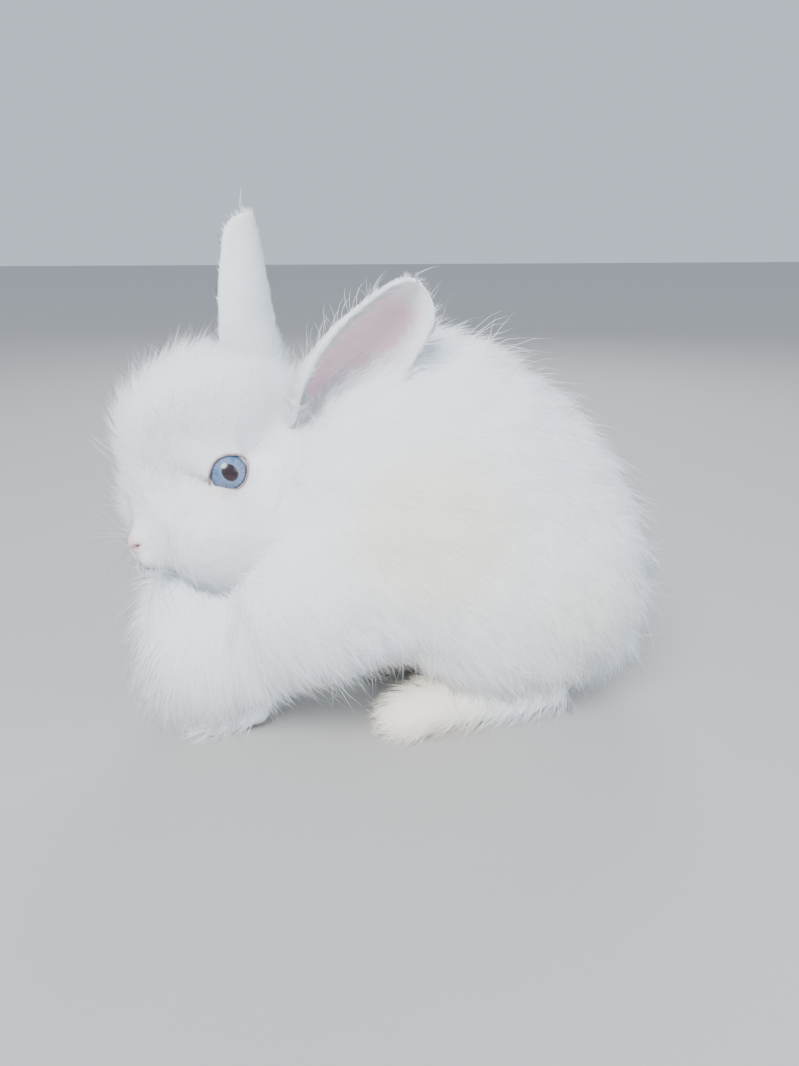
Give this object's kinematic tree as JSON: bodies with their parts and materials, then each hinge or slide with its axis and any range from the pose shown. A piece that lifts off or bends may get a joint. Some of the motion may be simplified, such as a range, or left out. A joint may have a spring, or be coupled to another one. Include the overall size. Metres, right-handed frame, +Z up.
{
  "type": "angora rabbit",
  "caption": "Young white angora rabbit with a long, soft coat, sitting with its ears up, as a still life-size model",
  "frame": {"origin": "on the floor, under the middle of the outer box", "axes": "+Z up, nose towards -X, the rabbit's left side towards -Y"},
  "size_m": [0.1956, 0.1084, 0.1611],
  "materials": {
    "fur": "matte",
    "foot_fur": "matte",
    "ear": "matte",
    "eye": "wet gloss"
  },
  "bodies": {
    "root": {"head": "fur", "neck": "fur", "torso": "fur", "tail": "fur", "ear_left": "ear", "eye_left": "eye", "haunch_left": "fur", "hind_foot_left": "foot_fur", "foreleg_left": "foot_fur", "ear_right": "ear", "eye_right": "eye", "haunch_right": "fur", "hind_foot_right": "foot_fur", "foreleg_right": "foot_fur"}
  },
  "joints": []
}
